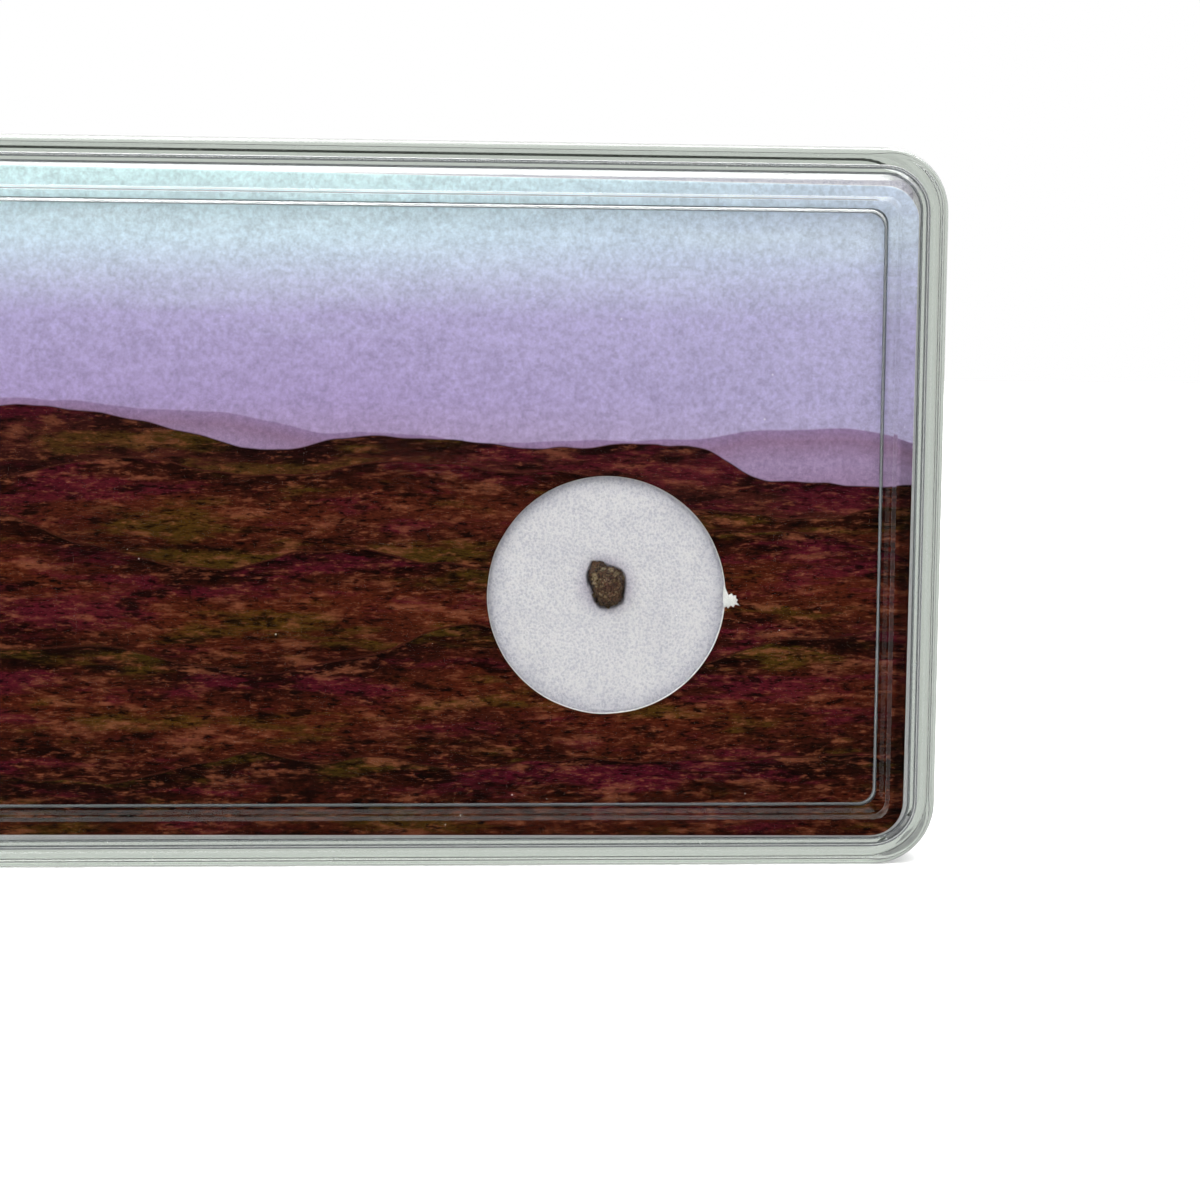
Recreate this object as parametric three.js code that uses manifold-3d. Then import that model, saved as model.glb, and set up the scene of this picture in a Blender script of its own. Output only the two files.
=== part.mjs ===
// A crumb of martian meteorite in its clear display box, in millimetres.
// The box stands upright on its long bottom edge: +X to the right, the window faces -Y, +Z up.
// Origin: middle of the bottom edge, half way through the box's depth.
import * as THREE from 'three';
import { mergeVertices } from 'three/addons/utils/BufferGeometryUtils.js';
import Module from 'manifold-3d';

// Outside of the closed box.
const BOX_WIDTH = 79;
const BOX_HEIGHT = 48;
const BOX_DEPTH = 17;
const BOX_CORNER = 4.2;
const OUTER_EDGE = 0.5;

// Lid: a tray with a raised window panel, whose skirt hides the base's lip.
const RIM_DROP = 0.9;
const PLATE_THICKNESS = 1.2;
const SKIRT_THICKNESS = 1.1;
const PARTING_DEPTH = -3.0;
const PARTING_GAP = 0.15;
const PANEL_INSET = 3.25;
const PANEL_CORNER = 1.0;
const PANEL_CHAMFER = 0.35;
const RECESS_INSET = 4.1;
const RECESS_CORNER = 1.1;
const RECESS_EDGE = 0.2;

// Base: a plain tray with a thin lip that slides into the skirt.
const LIP_CLEARANCE = 0.12;
const LIP_THICKNESS = 0.5;
const LIP_SHORT_OF_PLATE = 0.15;
const FLOOR_THICKNESS = 1.2;

// Card: printed, trimmed by hand a little out of square, and punched.
const CARD_WIDTH = 75.2;
const CARD_HEIGHT_LEFT = 44.1;
const CARD_HEIGHT_RIGHT = 43.75;
const CARD_THICKNESS = 0.4;
const CARD_CORNER = 2.3;
const CARD_TILT_DEGREES = -0.25;
const CARD_BEHIND_PLATE = 0.1;
const HOLE_DIAMETER = 15.9;
const HOLE_X = 17.1;
const HOLE_Z = 18.2;

// Foam pad: fills the tray behind the card, with a dent that the stone has pressed.
const FOAM_SIDE_GAP = 0.3;
const FOAM_BEHIND_CARD = 0.1;
const FOAM_OFF_FLOOR = 0.1;
const FOAM_EDGE = 0.6;
const DENT_HALF_WIDTH = 1.9;
const DENT_HALF_HEIGHT = 2.3;
const DENT_DEPTH = 1.1;
const DENT_TURN_STEPS = 24;
const DENT_LEVEL_STEPS = 16;

// Stone: a fragment of coarse crystals, a block with a smaller lump at its upper left.
const STONE_X = 17.1;
const STONE_Z = 18.95;
const STONE_BEHIND_PANEL = 1.28;
const STONE_REACH = 2.4;
const CHIP_COUNT = 26;
const CHIP_SHALLOWEST = 0.99;
const CHIP_DEEPEST = 0.9;

// Small crystals that stand out of the stone: stubby six-sided prisms, mostly on one slant.
const CRYSTAL_COUNT = 34;
const CRYSTAL_SMALLEST = 0.25;
const CRYSTAL_LARGEST = 0.5;
const CRYSTAL_LENGTH_SHARE = 1.9;
const CRYSTAL_TIP_SHARE = 0.7;
const CRYSTAL_SIDES = 6;
const CRYSTAL_SINK = 0.86;
const CRYSTAL_STRAY = 0.5;
const CRYSTAL_SLANT = new THREE.Vector3(0.35, -0.3, 0.9);

const CORNER_STEPS = 7;
const ROUND_EDGE_STEPS = 3;
const CHAMFER_STEPS = 1;
const HOLE_STEPS = 48;

// Corners nearer than this are one corner, and faces this nearly parallel to a direction never stop it.
const WELD_DISTANCE = 1e-5;
const NEARLY_PARALLEL = 1e-6;

// An odd step that makes a row of sines look irregular.
const UNEVEN_STEP = 12.9898;

// Depths, from the panel's face at the front to the floor's face at the back.
const PANEL_FACE = -BOX_DEPTH / 2;
const RIM_FACE = PANEL_FACE + RIM_DROP;
const BACK_FACE = BOX_DEPTH / 2;
const UNDER_RIM = RIM_FACE + PLATE_THICKNESS;
const UNDER_PANEL = PANEL_FACE + PLATE_THICKNESS;
const CARD_FACE = UNDER_RIM + CARD_BEHIND_PLATE;
const FOAM_FACE = CARD_FACE + CARD_THICKNESS + FOAM_BEHIND_CARD;
const FLOOR_FACE = BACK_FACE - FLOOR_THICKNESS;

const HALF_WIDTH = BOX_WIDTH / 2;
const HALF_HEIGHT = BOX_HEIGHT / 2;
const LIP_INSET = SKIRT_THICKNESS + LIP_CLEARANCE;
const CAVITY_INSET = LIP_INSET + LIP_THICKNESS;

// The stone's crystal faces. Each is [turn, lean, distance]: the way that the face looks,
// as degrees of turn from +X in the upright plane and of lean towards the window,
// and how far it lies from the stone's middle.
const BLOCK_MIDDLE = new THREE.Vector3(0.2, 0, -0.15);
const BLOCK_FACES = [
  [-3, 0, 1.27], [-35, 6, 1.56], [-60, -8, 1.62], [-90, 4, 1.57], [-145, 0, 1.26],
  [-172, 5, 0.95], [150, 0, 1.1], [110, -10, 1.3], [73, 0, 1.28], [50, 8, 1.37], [25, -6, 1.35],
  [-70, 78, 1.02], [75, 44, 1.2], [25, 38, 1.31], [-10, 34, 1.27], [-75, 36, 1.5],
  [-150, 40, 1.2], [150, 50, 1.1], [100, -40, 1.35], [0, -45, 1.3], [-90, -50, 1.45],
  [180, -40, 1.2], [40, -84, 1.02],
];
const LUMP_MIDDLE = new THREE.Vector3(-0.72, 0.05, 0.72);
const LUMP_FACES = [
  [178, 0, 1.29], [160, 5, 1.48], [90, 0, 1.57], [-155, 0, 1.06], [35, 0, 0.72],
  [120, 40, 1.22], [-150, 48, 0.8], [40, 62, 0.5], [-20, 20, 0.4], [170, -45, 1.2],
  [60, -55, 1.0], [-100, -30, 0.6], [180, 80, 0.74], [0, -85, 0.8], [-90, 20, 0.3],
];

const wasm = await Module();
wasm.setup();

/** Shares the corners of a closed mesh, so that only its positions are left. */
function shared(geometry) {
  const bare = geometry.clone();
  bare.deleteAttribute('normal');
  bare.deleteAttribute('uv');
  return mergeVertices(bare, WELD_DISTANCE);
}

/** A closed mesh as a solid that can be joined and cut. */
function toSolid(geometry) {
  const mesh = shared(geometry);
  return new wasm.Manifold(new wasm.Mesh({
    numProp: 3,
    vertProperties: new Float32Array(mesh.attributes.position.array),
    triVerts: new Uint32Array(mesh.index.array),
  }));
}

/** A solid as a mesh with flat faces. */
function toGeometry(solid) {
  const mesh = solid.getMesh();
  const geometry = new THREE.BufferGeometry();
  geometry.setAttribute('position', new THREE.BufferAttribute(mesh.vertProperties, 3));
  geometry.setIndex(new THREE.BufferAttribute(mesh.triVerts, 1));
  geometry.computeVertexNormals();
  return geometry;
}

/** A rectangle with round corners about the origin. */
function roundedRectangle(halfWidth, halfHeight, corner) {
  const x = halfWidth - corner;
  const y = halfHeight - corner;
  const shape = new THREE.Shape();
  shape.absarc(x, y, corner, 0, Math.PI / 2);
  shape.absarc(-x, y, corner, Math.PI / 2, Math.PI);
  shape.absarc(-x, -y, corner, Math.PI, 1.5 * Math.PI);
  shape.absarc(x, -y, corner, 1.5 * Math.PI, 2 * Math.PI);
  return shape;
}

/** Stands an outline up facing -Y, gives it the depth from front to back and eases its edges. */
function standUp(shape, front, back, edge = 0, edgeSteps = ROUND_EDGE_STEPS, curveSegments = CORNER_STEPS) {
  const geometry = new THREE.ExtrudeGeometry(shape, {
    depth: back - front - 2 * edge,
    curveSegments,
    bevelEnabled: edge > 0,
    bevelThickness: edge,
    bevelSize: edge,
    bevelOffset: -edge,
    bevelSegments: edgeSteps,
  });
  geometry.rotateX(Math.PI / 2);
  geometry.translate(0, back - edge, HALF_HEIGHT);
  return geometry;
}

/** A plate as far inside the box's outline as inset says. */
function insetPlate({ inset, corner, front, back, edge, edgeSteps }) {
  const shape = roundedRectangle(HALF_WIDTH - inset, HALF_HEIGHT - inset, corner);
  return toSolid(standUp(shape, front, back, edge, edgeSteps));
}

/** A block larger than the box that takes away everything between two depths. */
function depthCutter(front, back) {
  const block = new THREE.BoxGeometry(2 * BOX_WIDTH, back - front, 2 * BOX_HEIGHT);
  block.translate(0, (front + back) / 2, HALF_HEIGHT);
  return toSolid(block);
}

/** The lid: rim, raised panel and skirt round one hollow. */
function makeLid() {
  const tray = insetPlate({
    inset: 0, corner: BOX_CORNER, front: RIM_FACE, back: PARTING_DEPTH + BOX_CORNER, edge: OUTER_EDGE,
  });
  const panel = insetPlate({
    inset: PANEL_INSET, corner: PANEL_CORNER, front: PANEL_FACE, back: PARTING_DEPTH,
    edge: PANEL_CHAMFER, edgeSteps: CHAMFER_STEPS,
  });
  const hollow = insetPlate({
    inset: SKIRT_THICKNESS, corner: BOX_CORNER - SKIRT_THICKNESS,
    front: UNDER_RIM, back: BACK_FACE, edge: RECESS_EDGE,
  });
  const recess = insetPlate({
    inset: RECESS_INSET, corner: RECESS_CORNER, front: UNDER_PANEL, back: BACK_FACE, edge: RECESS_EDGE,
  });
  return toGeometry(
    tray.add(panel).subtract(hollow).subtract(recess).subtract(depthCutter(PARTING_DEPTH, 2 * BOX_DEPTH)),
  );
}

/** The base: floor, wall and the lip that goes up inside the lid's skirt. */
function makeBase() {
  const wallFront = PARTING_DEPTH + PARTING_GAP;
  const block = insetPlate({
    inset: 0, corner: BOX_CORNER, front: wallFront - BOX_CORNER, back: BACK_FACE, edge: OUTER_EDGE,
  });
  const wall = block.subtract(depthCutter(-2 * BOX_DEPTH, wallFront));
  const lip = insetPlate({
    inset: LIP_INSET, corner: BOX_CORNER - LIP_INSET,
    front: UNDER_RIM + LIP_SHORT_OF_PLATE, back: wallFront + FLOOR_THICKNESS, edge: 0,
  });
  const cavity = insetPlate({
    inset: CAVITY_INSET, corner: BOX_CORNER - CAVITY_INSET,
    front: -2 * BOX_DEPTH, back: FLOOR_FACE, edge: RECESS_EDGE,
  });
  return toGeometry(wall.add(lip).subtract(cavity));
}

/** The card's outline: square at the bottom, its top edge cut on a slight slope. */
function cardOutline() {
  const side = CARD_WIDTH / 2;
  const bottom = -CARD_HEIGHT_LEFT / 2;
  const topLeft = bottom + CARD_HEIGHT_LEFT;
  const topRight = bottom + CARD_HEIGHT_RIGHT;
  const slope = Math.atan2(topRight - topLeft, CARD_WIDTH);
  const arc = (shape, x, y, from, to) => shape.absarc(x, y, CARD_CORNER, from, to);
  const shape = new THREE.Shape();
  arc(shape, side - CARD_CORNER, topRight - CARD_CORNER, 0, Math.PI / 2 + slope);
  arc(shape, -side + CARD_CORNER, topLeft - CARD_CORNER, Math.PI / 2 + slope, Math.PI);
  arc(shape, -side + CARD_CORNER, bottom + CARD_CORNER, Math.PI, 1.5 * Math.PI);
  arc(shape, side - CARD_CORNER, bottom + CARD_CORNER, 1.5 * Math.PI, 2 * Math.PI);
  return shape;
}

/** The card: a thin sheet, turned a little in its box, with the round hole punched through. */
function makeCard() {
  const sheet = standUp(cardOutline(), CARD_FACE, CARD_FACE + CARD_THICKNESS);
  sheet.translate(0, 0, -HALF_HEIGHT);
  sheet.rotateY(-THREE.MathUtils.degToRad(CARD_TILT_DEGREES));
  sheet.translate(0, 0, HALF_HEIGHT);
  const disc = new THREE.Shape().absarc(0, 0, HOLE_DIAMETER / 2, 0, 2 * Math.PI);
  const punch = standUp(disc, CARD_FACE - CARD_THICKNESS, FOAM_FACE, 0, ROUND_EDGE_STEPS, HOLE_STEPS);
  punch.translate(HOLE_X, 0, HOLE_Z - HALF_HEIGHT);
  return toGeometry(toSolid(sheet).subtract(toSolid(punch)));
}

/** The foam pad, with the stone's dent in its face. */
function makeFoamPad() {
  const pad = insetPlate({
    inset: CAVITY_INSET + FOAM_SIDE_GAP, corner: BOX_CORNER - CAVITY_INSET,
    front: FOAM_FACE, back: FLOOR_FACE - FOAM_OFF_FLOOR, edge: FOAM_EDGE,
  });
  const dent = new THREE.SphereGeometry(1, DENT_TURN_STEPS, DENT_LEVEL_STEPS);
  dent.scale(DENT_HALF_WIDTH, DENT_DEPTH, DENT_HALF_HEIGHT);
  dent.translate(STONE_X, FOAM_FACE, STONE_Z);
  return toGeometry(pad.subtract(toSolid(dent)));
}

/** The plane of one crystal face, from its turn, lean and distance. */
function facePlane([turn, lean, distance]) {
  const t = THREE.MathUtils.degToRad(turn);
  const l = THREE.MathUtils.degToRad(lean);
  const normal = new THREE.Vector3(Math.cos(t) * Math.cos(l), -Math.sin(l), Math.sin(t) * Math.cos(l));
  return { normal, distance };
}

/** Cuts away what lies beyond a plane. */
function shave(solid, { normal, distance }) {
  const size = 4 * STONE_REACH;
  const cutter = new THREE.BoxGeometry(size, size, size);
  cutter.applyQuaternion(new THREE.Quaternion().setFromUnitVectors(new THREE.Vector3(0, 0, 1), normal));
  const away = normal.clone().multiplyScalar(distance + size / 2);
  cutter.translate(away.x, away.y, away.z);
  return solid.subtract(toSolid(cutter));
}

/** The corner of a solid that lies farthest along a direction. */
function farthestAlong(solid, direction) {
  const { vertProperties } = solid.getMesh();
  let farthest = -Infinity;
  for (let i = 0; i < vertProperties.length; i += 3) {
    const corner = new THREE.Vector3().fromArray(vertProperties, i);
    farthest = Math.max(farthest, corner.dot(direction));
  }
  return farthest;
}

/** An even scatter of directions: the way that point number i of count looks. */
function scattered(i, count) {
  const height = 1 - (2 * (i + 0.5)) / count;
  const ring = Math.sqrt(1 - height * height);
  const turn = i * Math.PI * (3 - Math.sqrt(5));
  return new THREE.Vector3(ring * Math.cos(turn), ring * Math.sin(turn), height);
}

/** A fixed, uneven share between 0 and 1 for point number i. */
function unevenShare(i) {
  return (Math.sin(UNEVEN_STEP * (i + 1)) + 1) / 2;
}

/** A lump of rock: a block cut to its crystal faces, then chipped flat here and there. */
function crystalLump(faces, middle) {
  const block = new THREE.BoxGeometry(2 * STONE_REACH, 2 * STONE_REACH, 2 * STONE_REACH);
  let solid = toSolid(block);
  for (const face of faces) solid = shave(solid, facePlane(face));
  for (let i = 0; i < CHIP_COUNT; i += 1) {
    const normal = scattered(i, CHIP_COUNT);
    const start = normal.dot(middle);
    const depth = THREE.MathUtils.lerp(CHIP_SHALLOWEST, CHIP_DEEPEST, unevenShare(i));
    solid = shave(solid, { normal, distance: start + depth * (farthestAlong(solid, normal) - start) });
  }
  return solid;
}

/** How far one can go from a point inside the faces before meeting one of them. */
function reachInside(faces, middle, direction) {
  let reach = STONE_REACH;
  for (const { normal, distance } of faces.map(facePlane)) {
    const towards = normal.dot(direction);
    if (towards > NEARLY_PARALLEL) reach = Math.min(reach, (distance - normal.dot(middle)) / towards);
  }
  return reach;
}

/** One small crystal, sunk most of the way into the face of a lump. */
function standingCrystal(faces, middle, i) {
  const out = scattered(i, CRYSTAL_COUNT);
  const radius = THREE.MathUtils.lerp(CRYSTAL_SMALLEST, CRYSTAL_LARGEST, unevenShare(i + CHIP_COUNT));
  const length = CRYSTAL_LENGTH_SHARE * radius;
  const prism = new THREE.CylinderGeometry(CRYSTAL_TIP_SHARE * radius, radius, length, CRYSTAL_SIDES);
  const stray = scattered((7 * i) % CRYSTAL_COUNT, CRYSTAL_COUNT).multiplyScalar(CRYSTAL_STRAY);
  const slant = CRYSTAL_SLANT.clone().normalize().add(stray).normalize();
  prism.applyQuaternion(new THREE.Quaternion().setFromUnitVectors(new THREE.Vector3(0, 1, 0), slant));
  const depth = CRYSTAL_SINK * radius;
  const place = out.multiplyScalar(reachInside(faces, middle, out) - depth).add(middle);
  prism.translate(place.x, place.y, place.z);
  return toSolid(prism);
}

/** The meteorite: the block with its small crystals, and the lump grown on it, as one fragment. */
function makeMeteorite() {
  let stone = crystalLump(BLOCK_FACES, BLOCK_MIDDLE).add(crystalLump(LUMP_FACES, LUMP_MIDDLE));
  for (let i = 0; i < CRYSTAL_COUNT; i += 1) {
    stone = stone.add(standingCrystal(BLOCK_FACES, BLOCK_MIDDLE, i));
  }
  const geometry = toGeometry(stone);
  geometry.translate(STONE_X, UNDER_PANEL + STONE_BEHIND_PANEL, STONE_Z);
  return geometry;
}

const clearPlastic = { color: 0xdfe5dc, roughness: 0.08, metalness: 0, transparent: true, opacity: 0.3 };
const PIECES = [
  ['base', makeBase, clearPlastic],
  ['foam_pad', makeFoamPad, { color: 0xe9e9ee, roughness: 0.95, metalness: 0 }],
  ['card', makeCard, { color: 0x4a2c30, roughness: 0.6, metalness: 0 }],
  ['meteorite', makeMeteorite, { color: 0x4f4539, roughness: 0.7, metalness: 0 }],
  ['lid', makeLid, clearPlastic],
];

const group = new THREE.Group();
for (const [name, make, finish] of PIECES) {
  const mesh = new THREE.Mesh(make(), new THREE.MeshStandardMaterial(finish));
  mesh.name = name;
  group.add(mesh);
}

export default group;
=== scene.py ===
import logging
import math
from dataclasses import dataclass, field
from enum import Enum
from typing import Iterable, Optional, Sequence, Union

import bmesh
import bpy
import numpy as np
from mathutils import Matrix, Vector, noise


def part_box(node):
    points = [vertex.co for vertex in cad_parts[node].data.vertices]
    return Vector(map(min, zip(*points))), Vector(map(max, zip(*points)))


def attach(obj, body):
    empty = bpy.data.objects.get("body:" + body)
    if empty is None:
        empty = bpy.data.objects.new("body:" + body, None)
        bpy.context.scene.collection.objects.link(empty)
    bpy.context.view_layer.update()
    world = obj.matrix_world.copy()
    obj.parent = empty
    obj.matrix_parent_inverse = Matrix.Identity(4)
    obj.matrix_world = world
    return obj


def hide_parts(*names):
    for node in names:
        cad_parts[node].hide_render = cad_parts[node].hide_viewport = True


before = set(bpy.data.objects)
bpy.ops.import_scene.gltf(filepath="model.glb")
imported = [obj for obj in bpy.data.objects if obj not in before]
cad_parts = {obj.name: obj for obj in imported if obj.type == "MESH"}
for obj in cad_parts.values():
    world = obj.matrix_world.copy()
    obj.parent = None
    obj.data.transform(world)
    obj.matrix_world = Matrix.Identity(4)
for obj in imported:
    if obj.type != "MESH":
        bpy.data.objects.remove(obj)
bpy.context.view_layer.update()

MM = 0.001
BODY = "root"
NOISE_SEED = 7
NOISE_SPAN = (0.3, 0.7)
WHITE = (1.0, 1.0, 1.0)
log = logging.getLogger("display_box")

Colour = tuple[float, float, float]
Place = tuple[float, float, float]
Edge = tuple[float, float]
Socket = bpy.types.NodeSocket
Feed = Union[Socket, float, tuple]
Ring = list[tuple[float, float]]


class BendShade(Enum):
    """Whether the rounding of a bend of the clear box is plain polished plastic or carries a painted shade
    line.
    """

    POLISHED = 0
    PAINTED_SHADE = 1


class Slot(Enum):
    """The record's material slots."""

    PLASTIC = "clear_plastic"
    FOAM = "white_foam"
    CARD = "printed_card"
    ROCK = "meteorite_rock"


@dataclass(frozen=True)
class Grain:
    """A noise: how many features it has to a unit, how many finer layers, and how strong those are."""

    scale: float
    detail: float
    roughness: float


def linear(red: float, green: float, blue: float) -> Colour:
    """Turns a screen colour into a scene colour.

    Args:
        red: red from 0 to 255.
        green: green from 0 to 255.
        blue: blue from 0 to 255.

    Returns:
        The same colour in linear light.
    """

    def channel(level: float) -> float:
        """Linear light of one channel."""
        share = level / 255
        return share / 12.92 if share <= 0.04045 else ((share + 0.055) / 1.055) ** 2.4

    return channel(red), channel(green), channel(blue)


def frame_box(node: str) -> tuple[Vector, Vector]:
    """Gives the corners of a solid of the frame.

    Args:
        node: the solid's name.

    Returns:
        Its lowest and highest corner, in millimetres.
    """
    low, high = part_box(node)
    return low / MM, high / MM


class Graph:
    """Adds and joins the nodes of one material or world by short calls."""

    def __init__(self, tree: bpy.types.NodeTree) -> None:
        """Starts on an empty tree."""
        self.tree = tree
        tree.nodes.clear()

    def node(self, kind: str, **settings: object) -> bpy.types.Node:
        """Adds a node.

        Args:
            kind: the node's type, without the leading ShaderNode.
            **settings: attributes to set on it.

        Returns:
            The new node.
        """
        made = self.tree.nodes.new("ShaderNode" + kind)
        for name, value in settings.items():
            setattr(made, name, value)
        return made

    def feed(self, socket: Socket, value: Feed) -> None:
        """Links a socket to another, or sets its value.

        Args:
            socket: the input.
            value: an output, a number, a colour or a vector.
        """
        if isinstance(value, bpy.types.NodeSocket):
            self.tree.links.new(value, socket)
        elif isinstance(value, tuple) and len(value) == 3 and socket.type == "RGBA":
            socket.default_value = (*value, 1.0)
        else:
            socket.default_value = value

    def math(self, operation: str, *values: Feed, clamp: bool = False) -> Socket:
        """Adds a Math node.

        Args:
            operation: its operation.
            *values: what goes in.
            clamp: whether the result is kept from 0 to 1.

        Returns:
            Its output.
        """
        made = self.node("Math", operation=operation, use_clamp=clamp)
        for socket, value in zip(made.inputs, values):
            self.feed(socket, value)
        return made.outputs[0]

    def step(self, value: Feed, low: float, high: float) -> Socket:
        """Gives a smooth step.

        Args:
            value: what is tested.
            low: where the step starts.
            high: where it ends; lower than low for a falling step.

        Returns:
            A value that goes from 0 at low to 1 at high.
        """
        made = self.node("MapRange", interpolation_type="SMOOTHSTEP")
        self.feed(made.inputs["Value"], value)
        self.feed(made.inputs["From Min"], low)
        self.feed(made.inputs["From Max"], high)
        return made.outputs[0]

    def span(self, value: Feed, low: float, high: float, to_low: float, to_high: float) -> Socket:
        """Maps a value evenly from one span to another, kept inside it.

        Args:
            value: the value.
            low: where the first span starts.
            high: where the first span ends.
            to_low: where the second span starts.
            to_high: where the second span ends.

        Returns:
            The mapped value.
        """
        made = self.node("MapRange", interpolation_type="LINEAR")
        for name, number in zip(("Value", "From Min", "From Max", "To Min", "To Max"),
                                (value, low, high, to_low, to_high)):
            self.feed(made.inputs[name], number)
        return made.outputs[0]

    def mix(self, share: Feed, first: Feed, second: Feed, blend: str = "MIX") -> Socket:
        """Mixes two colours.

        Args:
            share: how much of the second.
            first: the first colour.
            second: the second colour.
            blend: the way they are blended.

        Returns:
            The mixed colour.
        """
        made = self.node("Mix", data_type="RGBA", blend_type=blend)
        self.feed(made.inputs["Factor"], share)
        self.feed(made.inputs[6], first)
        self.feed(made.inputs[7], second)
        return made.outputs[2]

    def ramp(self, value: Feed, stops: Sequence[tuple[float, Colour]]) -> Socket:
        """Turns a value into a colour.

        Args:
            value: the value, from 0 to 1.
            stops: places and colours.

        Returns:
            The colour.
        """
        made = self.node("ValToRGB")
        self.feed(made.inputs[0], value)
        elements = made.color_ramp.elements
        while len(elements) < len(stops):
            elements.new(1.0)
        for element, (place, colour) in zip(elements, stops):
            element.position = place
            element.color = (*colour, 1.0)
        return made.outputs[0]

    def place(self, scale: Sequence[float] = (1, 1, 1), shift: Sequence[float] = (0, 0, 0)) -> Socket:
        """Gives the point being shaded.

        Args:
            scale: what each axis is multiplied by, after metres become millimetres.
            shift: what is added, in millimetres, before the scale.

        Returns:
            The point, as a vector.
        """
        coordinate = self.node("TexCoord").outputs["Object"]
        made = self.node("VectorMath", operation="MULTIPLY_ADD")
        self.feed(made.inputs[0], coordinate)
        self.feed(made.inputs[1], tuple(s / MM for s in scale))
        self.feed(made.inputs[2], tuple(a * s for a, s in zip(shift, scale)))
        return made.outputs[0]

    def axes(self, vector: Feed) -> tuple[Socket, Socket, Socket]:
        """Splits a vector.

        Args:
            vector: the vector.

        Returns:
            Its x, y and z.
        """
        made = self.node("SeparateXYZ")
        self.feed(made.inputs[0], vector)
        return made.outputs[0], made.outputs[1], made.outputs[2]

    def noise(self, vector: Feed, grain: Grain) -> Socket:
        """Gives soft noise about one half.

        Args:
            vector: where.
            grain: the noise's scale, layers and strength.

        Returns:
            The noise.
        """
        made = self.node("TexNoise")
        self.feed(made.inputs["Vector"], vector)
        self.feed(made.inputs["Scale"], grain.scale)
        self.feed(made.inputs["Detail"], grain.detail)
        self.feed(made.inputs["Roughness"], grain.roughness)
        return made.outputs[0]

    def cells(self, vector: Feed, scale: float, feature: str = "F1") -> bpy.types.Node:
        """Gives a pattern of cells.

        Args:
            vector: where.
            scale: how many cells there are to one unit.
            feature: which measure of the cells.

        Returns:
            The node, for its Distance and Color outputs.
        """
        made = self.node("TexVoronoi", feature=feature)
        self.feed(made.inputs["Vector"], vector)
        self.feed(made.inputs["Scale"], scale)
        return made

    def bump(self, height: Feed, distance: float, strength: float) -> Socket:
        """Turns a height into a tilted normal.

        Args:
            height: the height, from 0 to 1.
            distance: what a height of 1 stands for, in millimetres.
            strength: how much of it is used.

        Returns:
            The normal.
        """
        made = self.node("Bump")
        self.feed(made.inputs["Height"], height)
        self.feed(made.inputs["Distance"], distance * MM)
        self.feed(made.inputs["Strength"], strength)
        return made.outputs[0]

    def surface(self, **inputs: Feed) -> bpy.types.Node:
        """Adds the surface shader and joins it to the output.

        Args:
            **inputs: its inputs, with underscores for the spaces in their names.

        Returns:
            The output node.
        """
        shader = self.node("BsdfPrincipled")
        for name, value in inputs.items():
            self.feed(shader.inputs[name.replace("_", " ")], value)
        output = self.node("OutputMaterial")
        self.feed(output.inputs["Surface"], shader.outputs[0])
        return output


def new_material(name: str) -> tuple[bpy.types.Material, Graph]:
    """Makes an empty node material.

    Args:
        name: its name.

    Returns:
        The material and the graph of its nodes.
    """
    material = bpy.data.materials.new(name)
    material.use_nodes = True
    return material, Graph(material.node_tree)


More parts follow.
